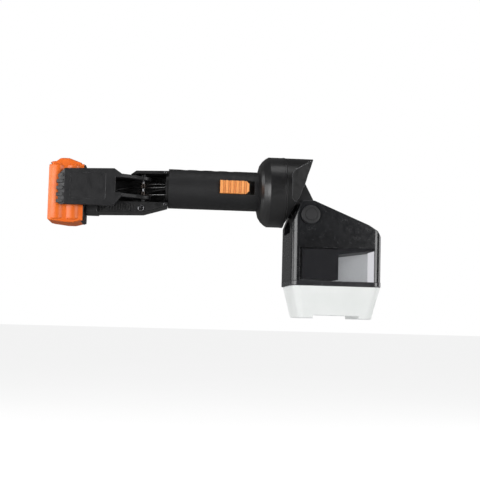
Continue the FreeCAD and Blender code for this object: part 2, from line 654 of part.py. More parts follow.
# ---- yoke ------------------------------------------------------------------------------------
HOOD_EDGE = ((HOOD_TIP_X, HOOD_TIP_Z), (119.6, 30.4), (116.2, 21.4), (113.0, 11.0), (109.3, 2.7),
             (105.0, -8.0), (100.8, -13.5), (88.0, -40.0))


def hood_solid(inset, edge):
    """A cylinder with two cheeks sloping inwards: the hood's outside, or its inside when inset is
    the wall thickness."""
    r = HOOD_R - inset
    body = prism_xz([(HOOD_X0, -HOOD_TIP_Z), (HOOD_X0, HOOD_TIP_Z)] + edge, -60, 60)
    body = body.common(rod((HOOD_X0, 0, 0), (150, 0, 0), r))
    slope = math.tan(math.radians(CHEEK_ANGLE))
    start = CHEEK_X - inset
    half = CHEEK_Y - inset / math.cos(math.radians(CHEEK_ANGLE)) + inset * slope
    low, rise = CHEEK_LOW_Z - inset, inset * 1.2
    side_view = [(start, low + 4), (start + 3, low), (150, low), (150, 58.6 + rise),
                 (start + 4, 25.0 + rise), (start, 19.0 + rise)]
    for side in (-1, 1):
        plan = [(start - 0.1, side * half), (start - 0.1, side * 60), (150, side * 60),
                (150, side * (half - (150 - start) * slope))]
        cheek = prism_xy(plan, -70, 70).common(prism_xz(side_view, -60, 60))
        body = body.cut(cheek)
    return body


def yoke_hood():
    outside = hood_solid(0, list(HOOD_EDGE))
    inside = hood_solid(WALL, [(150, HOOD_TIP_Z), (150, -HOOD_TIP_Z)])
    inside = inside.cut(box(80, HOOD_X0 + 3.5, -60, 60, -60, 60))
    body = outside.cut(inside)
    body = body.cut(rod((80, 0, 0), (HOOD_X0 + 4, 0, 0), SPIGOT_R))
    for x, y, z in yoke_screw_places():
        body = body.cut(rod((x - 1, y, z), (x + 10, y, z), 1.6))
    return body


def yoke_screw_places():
    angles = [math.radians(45 + 90 * i) for i in range(4)]
    return [(HOOD_X0, 24 * math.cos(a), 24 * math.sin(a)) for a in angles]


def yoke_frame():
    """Spigot, plate, two ears and the barrel that the head tilts on, in one casting."""
    x0 = HOOD_X0 + 3.5
    plate = rod((x0, 0, 0), (x0 + 3.0, 0, 0), 31.0)
    spigot = rod((SPIGOT_X0, 0, 0), (x0, 0, 0), SPIGOT_R)
    outline = [(x0 + 0.5, -22), (x0 + 0.5, 9.9), (113.3, 9.9), (130.4, -22.9), (TILT_X, TILT_Z),
               (100.5, -34.0)]
    ears = [prism_xz(outline, a, b) for a, b in ((EAR_Y0, EAR_Y1), (-EAR_Y1, -EAR_Y0))]
    half = THROAT_HALF_Y - GAP
    barrel = rod((TILT_X, -half, TILT_Z), (TILT_X, half, TILT_Z), BARREL_R)
    body = fuse([plate, spigot, barrel] + ears)
    body = body.cut(rod((SPIGOT_X0 - 1, 0, 0), (x0 + 4, 0, 0), SPIGOT_BORE_R))
    body = body.cut(tube((CLIP_X0, 0, 0), (CLIP_X1, 0, 0), SPIGOT_R + 1, SPIGOT_R - 1))
    body = body.cut(rod((TILT_X, -40, TILT_Z), (TILT_X, 40, TILT_Z), AXLE_R + FIT))
    for x, y, z in yoke_screw_places():
        body = body.cut(rod((x0 - 1, y, z), (x0 + 5, y, z), 1.2))
    return body


def yoke_screws():
    return group([screw(p, (1, 0, 0), 2.8, 1.5, 1.15, 6.2) for p in yoke_screw_places()])


def swivel_clip():
    ring = tube((CLIP_X0, 0, 0), (CLIP_X1, 0, 0), SPIGOT_R + 2.4, SPIGOT_R - 1)
    return ring.cut(box(CLIP_X0 - 1, CLIP_X1 + 1, -3, 3, 5, 20))


def yoke_cable():
    """The cable through the spigot, down to the top of the barrel."""
    return cable([(65.5, 0, 0), (80, 0, 0), (96, 0, 0), (106, 0, -4), (110, 0, -11.6)], 2.6)


# ---- head ------------------------------------------------------------------------------------
def head_outline(t):
    """Side outline of the head, moved inwards by t; the inner one runs out at the open bottom."""
    x0, x1 = HEAD_X0 + t, HEAD_X1 - t
    z0 = HEAD_Z0 - (5 if t else 0)
    return [(x0, z0), (x0, LEFT_WALL_TOP_Z - t * 0.2), (105.5 + t * 0.7, ROOF_Z0 - t),
            (ROOF_X0 - t * 0.2, ROOF_Z0 - t), (ROOF_X1 - t * 0.35, ROOF_Z1 - t),
            (199 - t * 0.7, -48.5 - t * 0.8), (x1, -56 - t * 0.5), (x1, z0)]


def head_solid(t):
    """The head's outside, or its inside when t is the wall thickness."""
    body = prism_xz(head_outline(t), -60, 60)
    r = max(HEAD_CORNER_R - t, 1)
    half = HEAD_HALF_Y - t
    return body.common(rounded_box(HEAD_X0 + t, HEAD_X1 - t, -half, half, -130, 0, r))


def throat_walls():
    """Walls round the recess that the yoke barrel turns in."""
    w, half = 2.5, THROAT_HALF_Y
    lining = box(HEAD_X0, THROAT_X1 + w, -half - w, half + w, THROAT_Z0 - w, 0)
    return lining.common(head_solid(0))


def corner_bosses():
    """Screw bosses at the two lower corners near the handle."""
    return [rod((x, y, HEAD_Z0), (x, y, -92), 4.6) for x, y in TRAY_SCREWS if x < WINDOW_X0]


def mouth_cut():
    return box(190, 210, MOUTH_Y0, MOUTH_Y1, HEAD_Z0 - 1, MOUTH_Z1)


def head_housing():
    body = fillet(head_solid(0), 1.2, lambda p: p.z > -60 and abs(p.y) > 45)
    body = body.cut(head_solid(HEAD_WALL)).fuse([throat_walls()])
    body = body.cut(box(HEAD_X0 - 5, THROAT_X1, -THROAT_HALF_Y, THROAT_HALF_Y, THROAT_Z0, 0))
    cup = rod((TILT_X, -HEAD_HALF_Y + 1, TILT_Z), (TILT_X, -THROAT_HALF_Y - 1, TILT_Z), CUP_R)
    rear_cup = rod((TILT_X, THROAT_HALF_Y + 1, TILT_Z), (TILT_X, HEAD_HALF_Y - 1, TILT_Z), CUP_R)
    inside = head_solid(1.0)
    body = body.multiFuse([s.common(inside) for s in [cup, rear_cup] + corner_bosses()])
    body = body.cut(rod((TILT_X, -60, TILT_Z), (TILT_X, -CUP_FLOOR_Y, TILT_Z), BUTTON_R + FIT))
    body = body.cut(rod((TILT_X, HEAD_HALF_Y - 2, TILT_Z), (TILT_X, 60, TILT_Z), BUTTON_R))
    body = body.cut(rod((TILT_X, -40, TILT_Z), (TILT_X, AXLE_Y1, TILT_Z), AXLE_R))
    body = body.cut(mouth_cut())
    for side in (-1, 1):
        y0, y1 = sorted((side * (HEAD_HALF_Y + 1), side * (HEAD_HALF_Y - HEAD_WALL - 0.01)))
        body = body.cut(box(WINDOW_X0, WINDOW_X1, y0, y1, HEAD_Z0 - 1, WINDOW_Z1))
    for x, y in TRAY_SCREWS[:2]:
        body = body.cut(rod((x, y, HEAD_Z0 - 1), (x, y, -95), 1.2))
    for x in MOUNT_SCREW_X:
        body = body.cut(rod((x, 0, -60), (x, 0, -45), 1.6))
    return body.removeSplitter()


def window(side):
    """A pane that fills the opening, with a lip inside the top edge of the wall."""
    outer, inner = side * HEAD_HALF_Y, side * (HEAD_HALF_Y - HEAD_WALL)
    back = side * (HEAD_HALF_Y - HEAD_WALL - LIP_T)
    y0, y1 = sorted((outer, inner))
    pane = box(WINDOW_X0, WINDOW_X1, y0, y1, HEAD_Z0, WINDOW_Z1)
    y0, y1 = sorted((inner, back))
    lip = box(LIP_X0, LIP_X1, y0, y1, WINDOW_Z1 - 3, WINDOW_Z1 + 2)
    return pane.fuse(lip).removeSplitter()


def front_window():
    return window(-1)


def rear_window():
    return window(1)


def head_rim():
    """Glossy frame between the head and the tray."""
    half = HEAD_HALF_Y + 0.4
    outer = rounded_box(HEAD_X0, HEAD_X1 + 0.4, -half, half, RIM_Z0, HEAD_Z0, HEAD_CORNER_R)
    half = HEAD_HALF_Y - 6
    inner = rounded_box(HEAD_X0 + 6, HEAD_X1 - 6, -half, half, RIM_Z0 - 1, HEAD_Z0 + 1, 14)
    outer = fillet(outer, 1.0, lambda p: abs(p.z - RIM_Z0) < 0.01)
    outer = fillet(outer, 0.5, lambda p: abs(p.z - HEAD_Z0) < 0.01)
    body = outer.cut(inner)
    for x, y in TRAY_SCREWS[:2]:
        body = body.cut(rod((x, y, RIM_Z0 - 1), (x, y, HEAD_Z0 + 1), 1.6))
    for x, y in TRAY_SCREWS[2:]:
        body = body.cut(rod((x, y, RIM_Z0 - 1), (x, y, HEAD_Z0 - 1.2), 1.2))
    return body


def tray_level(z, t):
    """The tray's outline at height z, moved inwards by t."""
    k = (RIM_Z0 - z) / (RIM_Z0 - FOOT_Z0)
    dx, dy = TRAY_INSET_X * k + t, TRAY_INSET_Y * k + t
    half = HEAD_HALF_Y - dy
    return (TRAY_X0 + dx, HEAD_X1 - dx, -half, half, HEAD_CORNER_R - t, z)


def rotor_tray():
    body = rounded_loft(tray_level(FOOT_Z0, 0), tray_level(RIM_Z0, 0))
    body = fillet(body, 2.0, lambda p: abs(p.z - FOOT_Z0) < 0.01)
    w = TRAY_WALL
    inner = rounded_loft(tray_level(TRAY_Z0 + w, w), tray_level(RIM_Z0, w))
    whole = body
    body = body.cut(inner)
    walls = [box(90, 210, y, y + 2.4, TRAY_Z0, RIM_Z0) for y in PARTITION_Y]
    posts = [rod((x, y, TRAY_POST_Z), (x, y, RIM_Z0), 3.8) for x, y in TRAY_SCREWS]
    body = body.multiFuse([s.common(whole) for s in walls + posts])
    body = body.cut(box(TRAY_MOUTH_X0, TRAY_MOUTH_X1, -60, 60, FOOT_Z0 - 1, TRAY_Z0))
    y0, y1 = PARTITION_Y[0] + 2.4, PARTITION_Y[1]
    body = body.cut(box(TRAY_MOUTH_X0 + 4, TRAY_MOUTH_X1 - 4, y0, y1, FOOT_Z0 - 1, TRAY_Z0 + 5))
    for y in PARTITION_Y:
        body = body.cut(rod((ROTOR_X, y - 1, ROTOR_Z), (ROTOR_X, y + 4, ROTOR_Z), BEARING_R))
    for x, y in TRAY_SCREWS:
        body = body.cut(rod((x, y, TRAY_POST_Z - 1), (x, y, RIM_Z0 + 1), 1.6))
        body = body.cut(rod((x, y, TRAY_POST_Z - 1.8), (x, y, TRAY_POST_Z), 2.5))
    return body.removeSplitter()


def tray_screws():
    """Two long screws into the head's bosses and two short ones into the rim."""
    screws = []
    for (x, y), length in zip(TRAY_SCREWS, (20, 20, 11, 11)):
        screws.append(screw((x, y, TRAY_POST_Z), (0, 0, 1), 2.4, 1.6, 1.15, length))
    return group(screws)


def tilt_axle():
    return rod((TILT_X, -CUP_FLOOR_Y - 2.0, TILT_Z), (TILT_X, AXLE_Y1, TILT_Z), AXLE_R)


def pivot_cap():
    """Blind cap on the far side of the tilt joint."""
    cap = rod((TILT_X, HEAD_HALF_Y - 2, TILT_Z), (TILT_X, HEAD_HALF_Y + 2.2, TILT_Z), BUTTON_R)
    return fillet(cap, 1.0, lambda p: p.y > HEAD_HALF_Y + 2)


def tilt_lock_button():
    y0, y1 = -HEAD_HALF_Y - 3.4, -HEAD_HALF_Y + 7.0
    body = rod((TILT_X, y0, TILT_Z), (TILT_X, y1, TILT_Z), BUTTON_R)
    body = fillet(body, 1.2, lambda p: p.y < y0 + 0.1)
    dish = tube((TILT_X, y0 - 1, TILT_Z), (TILT_X, y0 + 0.8, TILT_Z), 8.2, 6.6)
    return body.cut(dish).cut(rod((TILT_X, y0 + 3, TILT_Z), (TILT_X, y1 + 1, TILT_Z), 8.6))


def lock_spring():
    """Return spring behind the lock button, drawn as a sleeve."""
    start, end = (TILT_X, -HEAD_HALF_Y - 0.3, TILT_Z), (TILT_X, -CUP_FLOOR_Y - 4.2, TILT_Z)
    return tube(start, end, 7.6, 6.4)


def head_cable():
    """The cable from the throat to the motor."""
    across = [(125, 0, -58), (125, -14, -59), (125.5, -28, -61)]
    down = [(126, -36.5, -69), (126, -37.5, -77), (128, -36.5, -86), (132, -33.4, -90)]
    return cable(across + down, 2.2)


# ---- drive -----------------------------------------------------------------------------------
def drive_case():
    w, y1 = WALL, CASE_HALF_Y - WALL
    body = box(CASE_X0, CASE_X1, -CASE_HALF_Y, y1, CASE_Z0, CASE_Z1)
    body = body.cut(box(CASE_X0 + w, CASE_X1 - w, -CASE_HALF_Y + w, y1 + 1, CASE_Z0 + w, CASE_Z1 - w))
    mount = box(MOTOR_X - 17, MOTOR_X + 17, MOTOR_Y1, MOTOR_Y1 + 2.4, CASE_Z0 + w, CASE_Z1 - w)
    mount = mount.cut(rod((MOTOR_X, MOTOR_Y1 - 1, MOTOR_Z), (MOTOR_X, MOTOR_Y1 + 3, MOTOR_Z), 6.0))
    posts = [rod((x, 0, CASE_Z1), (x, 0, THROAT_Z0 - 2.5), 5.0) for x in MOUNT_SCREW_X]
    bosses = [rod((x, MOTOR_Y1, z), (x, y1, z), 3.4) for x, z in CASE_SCREWS]
    body = body.multiFuse([mount] + posts + bosses)
    body = body.cut(box(120.5, CASE_X1 - w, MOTOR_Y1 + 4, PULLEY_Y1 + 1.4, CASE_Z0 - 1, CASE_Z0 + w + 1))
    body = body.cut(rod((126, -37.2, CASE_Z1 - w - 1), (126, -37.2, CASE_Z1 + 1), 3.2))
    for x in MOUNT_SCREW_X:
        body = body.cut(rod((x, 0, CASE_Z1 + 2), (x, 0, THROAT_Z0), 1.2))
    for x, z in CASE_SCREWS:
        body = body.cut(rod((x, y1 - 10, z), (x, y1 + 1, z), 1.2))
    return body.removeSplitter()


def case_cover():
    y0 = CASE_HALF_Y - WALL
    body = box(CASE_X0, CASE_X1, y0, CASE_HALF_Y, CASE_Z0, CASE_Z1)
    for x, z in CASE_SCREWS:
        body = body.cut(rod((x, y0 - 1, z), (x, CASE_HALF_Y + 1, z), 1.6))
        body = body.cut(rod((x, CASE_HALF_Y - 1.3, z), (x, CASE_HALF_Y + 1, z), 2.8))
    return body


def case_screws():
    y = CASE_HALF_Y - 1.3
    return group([screw((x, y, z), (0, -1, 0), 2.7, 1.2, 1.15, 9) for x, z in CASE_SCREWS])


def mount_screws():
    """Screws that hang the drive case from the floor of the throat."""
    return group([screw((x, 0, THROAT_Z0), (0, 0, -1), 2.8, 1.6, 1.15, 12) for x in MOUNT_SCREW_X])


def chute_ceiling():
    """Sloping roof of the snow chamber, from the drive case to the mouth."""
    x0, x1 = CASE_X1, HEAD_X1 - HEAD_WALL
    half = HEAD_HALF_Y - HEAD_WALL - LIP_T - 0.2
    low, top = CHUTE_Z0, CHUTE_Z0 + 2.0
    plate = prism_xz([(x0, low), (x0, top), (x1, CHUTE_Z1 + 2), (x1, CHUTE_Z1)], -half, half)
    flange = [(x0, low), (x0, CHUTE_FLANGE_Z), (x1, CHUTE_FLANGE_Z), (x1, CHUTE_Z1)]
    flanges = [prism_xz(flange, -half, -half + 2), prism_xz(flange, half - 2, half)]
    return fuse([plate] + flanges).common(head_solid(HEAD_WALL))


def chute_wall():
    """White side wall of the snow chamber; it keeps snow off the belt and stands on the tray."""
    y0, y1 = PARTITION_Y[1], MOUTH_Y1 - GAP
    x0, x1 = CASE_X1 + GAP, HEAD_X1
    in_rim = HEAD_X1 - 6 - 0.7
    slope = (CHUTE_Z1 - CHUTE_Z0) / (HEAD_X1 - HEAD_WALL - CASE_X1)
    top0 = CHUTE_Z0 - GAP
    top1 = top0 + slope * (x1 - x0)
    outline = [(x0, RIM_Z0), (in_rim, RIM_Z0), (in_rim, HEAD_Z0 + GAP), (x1, HEAD_Z0 + GAP),
               (x1, top1), (x0, top0)]
    return prism_xz(outline, y0, y1)


def motor_axis(y):
    return (MOTOR_X, y, MOTOR_Z)


def motor_can():
    """Steel can with its nose bush and two arc magnets."""
    r, y0, y1 = MOTOR_R, MOTOR_Y0, MOTOR_Y1
    can = tube(motor_axis(y0 + 4), motor_axis(y1), r, r - 1.2)
    front = tube(motor_axis(y1 - 1.5), motor_axis(y1), r - 1.2, SHAFT_R + FIT)
    nose = tube(motor_axis(y1), motor_axis(y1 + 2.2), 5.6, SHAFT_R + FIT)
    return fuse([can, front, nose] + [arc_magnet(start) for start in (-60, 120)])


def arc_magnet(start):
    ring = tube(motor_axis(-16), motor_axis(18), MOTOR_R - 1.2, MOTOR_R - 3.0)
    angles = [math.radians(start + turn) for turn in (0, 60, 120)]
    corners = [(MOTOR_X + 30 * math.cos(a), MOTOR_Z + 30 * math.sin(a)) for a in angles]
    return ring.common(prism_xz([(MOTOR_X, MOTOR_Z)] + corners, -20, 20))


def motor_endcap():
    body = rod(motor_axis(MOTOR_Y0), motor_axis(MOTOR_Y0 + 4), MOTOR_R)
    body = body.cut(rod(motor_axis(MOTOR_Y0 + 1.5), motor_axis(MOTOR_Y0 + 5), MOTOR_R - 3))
    return body.cut(rod(motor_axis(MOTOR_Y0 - 1), motor_axis(MOTOR_Y0 + 5), SHAFT_R + FIT))


def motor_armature():
    """Slotted core, commutator drum and shaft."""
    core = rod(motor_axis(-15), motor_axis(17), MOTOR_R - 3.6)
    for i in range(8):
        a = math.radians(45 * i)
        x, z = MOTOR_X + (MOTOR_R - 5.4) * math.cos(a), MOTOR_Z + (MOTOR_R - 5.4) * math.sin(a)
        core = core.cut(rod((x, -16, z), (x, 18, z), 2.2))
    drum = rod(motor_axis(MOTOR_Y0 + 5), motor_axis(-15), 5.0)
    shaft = rod(motor_axis(MOTOR_Y0 - 1.5), motor_axis(PULLEY_Y1 + 0.8), SHAFT_R)
    return core.multiFuse([drum, shaft]).removeSplitter()


def pulley(x, z, radius, bore, teeth):
    """A toothed belt pulley on a Y axis."""
    body = rod((x, PULLEY_Y0, z), (x, PULLEY_Y1, z), radius)
    for i in range(teeth):
        a = 2 * math.pi * i / teeth
        at = (x + radius * math.cos(a), z + radius * math.sin(a))
        body = body.cut(rod((at[0], PULLEY_Y0 - 1, at[1]), (at[0], PULLEY_Y1 + 1, at[1]), 0.7))
    return body.cut(rod((x, PULLEY_Y0 - 1, z), (x, PULLEY_Y1 + 1, z), bore))


def drive_pulley():
    return pulley(MOTOR_X, MOTOR_Z, PULLEY_SMALL_R, SHAFT_R, 12)


def rotor_pulley():
    return pulley(ROTOR_X, ROTOR_Z, PULLEY_BIG_R, ROTOR_SHAFT_R, 24)


def belt_outline(grow):
    """The belt's path round both pulleys as a solid slab, grown outwards."""
    small, big = PULLEY_SMALL_R + FIT + grow, PULLEY_BIG_R + FIT + grow
    dx, dz = ROTOR_X - MOTOR_X, ROTOR_Z - MOTOR_Z
    span = math.hypot(dx, dz)
    along = math.atan2(dz, dx)
    lean = math.acos((small - big) / span)
    motor, rotor = (MOTOR_X, MOTOR_Z, small), (ROTOR_X, ROTOR_Z, big)
    points = []
    for (x, z, r), side in ((motor, 1), (rotor, 1), (rotor, -1), (motor, -1)):
        a = along + side * lean
        points.append((x + r * math.cos(a), z + r * math.sin(a)))
    y0, y1 = PULLEY_Y0 + 0.4, PULLEY_Y1 - 0.4
    web = prism_xz(points, y0, y1)
    ends = [rod((MOTOR_X, y0, MOTOR_Z), (MOTOR_X, y1, MOTOR_Z), small),
            rod((ROTOR_X, y0, ROTOR_Z), (ROTOR_X, y1, ROTOR_Z), big)]
    return web.multiFuse(ends)


def drive_belt():
    return belt_outline(BELT_T).cut(belt_outline(0))


def rotor_shaft():
    start, end = (ROTOR_X, PARTITION_Y[0] - 0.8, ROTOR_Z), (ROTOR_X, PULLEY_Y1 + 0.4, ROTOR_Z)
    return rod(start, end, ROTOR_SHAFT_R)


def rotor_bearings():
    rings = []
    for y in PARTITION_Y:
        start, end = (ROTOR_X, y, ROTOR_Z), (ROTOR_X, y + 2.4, ROTOR_Z)
        rings.append(tube(start, end, BEARING_R, ROTOR_SHAFT_R + FIT))
    return group(rings)


def rotor_paddles():
    """Hub with two banks of three swept paddles."""
    middle = (ROTOR_Y0 + ROTOR_Y1) / 2
    x, z, tip = ROTOR_X, ROTOR_Z, ROTOR_X + ROTOR_R
    section = [(x + 3, z - 1.4), (x + 13, z - 1.4), (tip - 1.5, z + 3.6), (tip - 3.4, z + 5.4),
               (x + 12, z + 1.4), (x + 3, z + 1.4)]
    parts = [rod((x, ROTOR_Y0, z), (x, ROTOR_Y1, z), ROTOR_HUB_R)]
    for y0, y1, turn in ((ROTOR_Y0 + 1, middle - 0.5, 0), (middle + 0.5, ROTOR_Y1 - 1, 60)):
        for i in range(3):
            blade = prism_xz(section, y0, y1)
            blade.rotate(V(ROTOR_X, 0, ROTOR_Z), Y_AXIS, turn + 120 * i)
            parts.append(blade)
    body = fuse(parts)
    return body.cut(rod((ROTOR_X, ROTOR_Y0 - 1, ROTOR_Z), (ROTOR_X, ROTOR_Y1 + 1, ROTOR_Z), ROTOR_SHAFT_R))


PARTS = (
    battery_shell, battery_base, battery_cells, cell_straps, cell_spacers, battery_board,
    battery_terminals, battery_screws, battery_dock, dock_terminals, neck_frame, neck_screws,
    latch_pin, latch_lever, latch_pad, latch_spring, power_leads, grip_shell_top,
    grip_shell_bottom, grip_screws, switch_frame, switch_module, control_board, motor_leads,
    slide_switch, switch_carrier, guard_collar, collar_ring, yoke_hood, yoke_frame, yoke_screws,
    swivel_clip, yoke_cable, head_housing, front_window, rear_window, head_rim, rotor_tray,
    tray_screws, tilt_axle, pivot_cap, tilt_lock_button, lock_spring, head_cable, drive_case,
    case_cover, case_screws, mount_screws, chute_ceiling, chute_wall, motor_can, motor_endcap,
    motor_armature, drive_pulley, drive_belt, rotor_shaft, rotor_bearings, rotor_paddles,
    rotor_pulley,
)


def main():
    os.makedirs("parts", exist_ok=True)
    for build in PARTS:
        name = build.__name__
        shape = build()
        solids = shape.Solids
        if not solids or not shape.isValid():
            raise ValueError(f"{name} is not a valid solid")
        shape = solids[0] if len(solids) == 1 else Part.makeCompound(solids)
        shape.exportStep(f"parts/{name}.step")


if __name__ == "__main__":
    main()
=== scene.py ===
"""Looks for the compact cordless snow shovel: materials, springs, soft light and the camera."""

import json
import math

import bmesh
import bpy
from mathutils import Matrix, Vector


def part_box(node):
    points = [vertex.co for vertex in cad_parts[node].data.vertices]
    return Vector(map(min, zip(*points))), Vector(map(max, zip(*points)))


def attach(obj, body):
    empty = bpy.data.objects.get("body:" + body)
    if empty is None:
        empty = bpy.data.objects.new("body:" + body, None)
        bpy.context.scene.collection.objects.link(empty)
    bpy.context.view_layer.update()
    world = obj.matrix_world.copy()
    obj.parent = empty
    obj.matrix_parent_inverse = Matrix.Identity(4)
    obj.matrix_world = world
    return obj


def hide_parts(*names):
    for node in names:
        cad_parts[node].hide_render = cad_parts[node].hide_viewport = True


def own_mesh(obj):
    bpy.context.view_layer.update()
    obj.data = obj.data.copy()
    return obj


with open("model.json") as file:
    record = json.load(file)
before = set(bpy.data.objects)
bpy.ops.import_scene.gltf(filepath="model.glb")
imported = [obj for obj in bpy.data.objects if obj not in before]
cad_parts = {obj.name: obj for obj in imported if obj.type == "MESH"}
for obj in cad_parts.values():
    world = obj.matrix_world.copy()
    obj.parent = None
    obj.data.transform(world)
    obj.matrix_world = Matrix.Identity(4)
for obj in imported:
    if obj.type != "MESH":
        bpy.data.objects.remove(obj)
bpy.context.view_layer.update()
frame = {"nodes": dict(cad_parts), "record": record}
NODES = frame["nodes"]
MM = 0.001


# ---- materials -----------------------------------------------------------------------------------
def linear(value):
    """An sRGB level from 0 to 255 as a linear one from 0 to 1."""
    c = value / 255.0
    return c / 12.92 if c <= 0.04045 else ((c + 0.055) / 1.055) ** 2.4


def rgb(r, g, b):
    return (linear(r), linear(g), linear(b), 1.0)


MIX_A, MIX_B, MIX_RESULT = 6, 7, 2    # the colour sockets of a Mix node


class Look:
    """A node material built up step by step."""

    def __init__(self, name):
        self.mat = bpy.data.materials.new(name)
        self.mat.use_nodes = True
        self.nodes = self.mat.node_tree.nodes
        self.links = self.mat.node_tree.links
        self.shader = self.nodes["Principled BSDF"]
        self.coords = self.nodes.new("ShaderNodeTexCoord").outputs["Object"]
        self.normal = None

    def soften(self, radius_mm):
        """Rounds sharp edges in the shading by about the given radius."""
        bevel = self.nodes.new("ShaderNodeBevel")
        bevel.samples = 6
        bevel.inputs["Radius"].default_value = radius_mm * MM
        self.normal = bevel.outputs["Normal"]
        self.link(self.normal, self.shader.inputs["Normal"])
        return self

    def link(self, a, b):
        self.links.new(a, b)

    def put(self, name, value):
        self.shader.inputs[name].default_value = value
        return self

    def noise(self, scale, detail=4.0, stretch=(1, 1, 1)):
        mapping = self.nodes.new("ShaderNodeMapping")
        mapping.inputs["Scale"].default_value = stretch
        self.link(self.coords, mapping.inputs["Vector"])
        tex = self.nodes.new("ShaderNodeTexNoise")
        tex.inputs["Scale"].default_value = scale
        tex.inputs["Detail"].default_value = detail
        self.link(mapping.outputs["Vector"], tex.inputs["Vector"])
        return tex.outputs["Fac"]

    def ramp(self, source, stops):
        """Colours or grey levels picked along a source from 0 to 1."""
        node = self.nodes.new("ShaderNodeValToRGB")
        while len(node.color_ramp.elements) < len(stops):
            node.color_ramp.elements.new(0.5)
        for element, (at, colour) in zip(node.color_ramp.elements, stops):
            element.position = at
            element.color = colour if hasattr(colour, "__len__") else (colour, colour, colour, 1)
        self.link(source, node.inputs["Fac"])
        return node.outputs["Color"]

    def colour(self, low, high, scale):
        """Base colour that drifts between two values."""
        self.link(self.ramp(self.noise(scale), [(0.3, low), (0.7, high)]),
                  self.shader.inputs["Base Color"])
        return self

    def rough(self, low, high, scale, stretch=(1, 1, 1)):
        """Roughness that drifts between two values."""
        self.link(self.ramp(self.noise(scale, 5.0, stretch), [(0.35, low), (0.65, high)]),
                  self.shader.inputs["Roughness"])
        return self

    def bump(self, height, distance, strength=1.0):
        node = self.nodes.new("ShaderNodeBump")
        node.inputs["Distance"].default_value = distance
        node.inputs["Strength"].default_value = strength
        self.link(height, node.inputs["Height"])
        if self.normal is not None:
            self.link(self.normal, node.inputs["Normal"])
        self.normal = node.outputs["Normal"]
        self.link(self.normal, self.shader.inputs["Normal"])
        return self

    def grain(self, size_mm, depth_mm):
        """Moulded grain of about the given size."""
        return self.bump(self.noise(1.0 / (size_mm * MM), 3.0), depth_mm * MM)

    def paint_crevice_shade(self, amount, reach_mm):
        """Painted shade: darkens the base colour where other surfaces stand within the given reach.
        """
        painted_shade = self.nodes.new("ShaderNodeAmbientOcclusion")
        painted_shade.samples = 8
        painted_shade.inputs["Distance"].default_value = reach_mm * MM
        mix = self.nodes.new("ShaderNodeMix")
        mix.data_type = "RGBA"
        mix.blend_type = "MULTIPLY"
        mix.inputs["Factor"].default_value = 1.0
        base = self.shader.inputs["Base Color"]
        self.link(base.links[0].from_socket, mix.inputs[MIX_A])
        self.link(self.ramp(painted_shade.outputs["AO"], [(0.35, 1.0 - amount), (0.95, 1.0)]),
                  mix.inputs[MIX_B])
        self.link(mix.outputs[MIX_RESULT], base)
        return self

    def edge_wear_and_highlight(self, amount, colour, radius_mm=0.6, full_at=0.75, evenness=0.0):
        """Lighter colour where edges are sharp, broken up by noise unless even: partly edge wear,
        partly painted highlight.
        """
        bevel = self.nodes.new("ShaderNodeBevel")
        bevel.samples = 4
        bevel.inputs["Radius"].default_value = radius_mm * MM
        geometry = self.nodes.new("ShaderNodeNewGeometry")
        dot = self.nodes.new("ShaderNodeVectorMath")
        dot.operation = "DOT_PRODUCT"
        self.link(bevel.outputs["Normal"], dot.inputs[0])
        self.link(geometry.outputs["Normal"], dot.inputs[1])
        edge = self.ramp(dot.outputs["Value"], [(full_at, 1.0), (0.99, 0.0)])
        patch = self.ramp(self.noise(260.0, 3.0), [(0.45, amount * evenness), (0.65, amount)])
        mask = self.nodes.new("ShaderNodeMath")
        mask.operation = "MULTIPLY"
        self.link(edge, mask.inputs[0])
        self.link(patch, mask.inputs[1])
        mix = self.nodes.new("ShaderNodeMix")
        mix.data_type = "RGBA"
        base = self.shader.inputs["Base Color"]
        self.link(mask.outputs["Value"], mix.inputs["Factor"])
        self.link(base.links[0].from_socket, mix.inputs[MIX_A])
        mix.inputs[MIX_B].default_value = colour
        self.link(mix.outputs[MIX_RESULT], base)
        return self


EDGE_MM = 0.7           # rounding that the moulded edges show
DRIFT_SCALE = 35.0      # noise scale of the slow change in colour
SHEEN_SCALE = 180.0     # noise scale of the change in roughness


def plastic(name, low, high, rough, grain_mm=0.35, depth_mm=0.03, wear_and_highlight=0.25, wear_and_highlight_colour=None,
            coat=0.0, painted_shade=None):
    """Moulded plastic or rubber; shade is the amount and reach in mm of painted shade in its
    crevices.
    """
    look = Look(name)
    look.soften(EDGE_MM)
    look.colour(low, high, DRIFT_SCALE)
    # painted shade in crevices, darker where parts stand close
    if painted_shade:
        look.paint_crevice_shade(*painted_shade)
    look.rough(rough[0], rough[1], SHEEN_SCALE)
    look.grain(grain_mm, depth_mm)
    look.put("Coat Weight", coat).put("Coat Roughness", 0.15)
    # lighter sharp edges: partly edge wear, partly painted highlight
    if wear_and_highlight:
        paler = tuple(min(1, c * 1.8 + 0.02) for c in high[:3]) + (1,)
        look.edge_wear_and_highlight(wear_and_highlight, wear_and_highlight_colour or paler)
    return look.mat


def hood_black():
    """Black plastic with painted highlight lines along its sharp edges."""
    look = Look("hood_black").soften(EDGE_MM)
    look.colour(rgb(9, 9, 10), rgb(14, 14, 15), DRIFT_SCALE)
    look.rough(0.30, 0.42, SHEEN_SCALE)
    look.grain(0.35, 0.02)
    # even painted highlight lines along the sharp edges
    look.edge_wear_and_highlight(1.0, rgb(165, 165, 168), radius_mm=0.45, full_at=0.955, evenness=0.75)
    return look.mat


METAL_SCALE = 300.0     # noise scale of the fine marks on metal


def metal(name, low, high, rough, stretch=(1, 1, 1)):
    """Bare metal with fine marks, drawn out along the axes by stretch."""
    look = Look(name)
    look.colour(low, high, 60.0)
    look.rough(rough[0], rough[1], METAL_SCALE, stretch)
    look.bump(look.noise(METAL_SCALE, 3.0, stretch), 0.01 * MM, 0.5)
    look.put("Metallic", 1.0)
    return look.mat


COIL_SHADE_X = (-0.081, -0.073)    # from coils darkened by painted shade to bright legs along the latch spring
COIL_PAINTED_SHADE, BRIGHT = (0.12, 0.10, 0.09, 1), (0.82, 0.82, 0.83, 1)


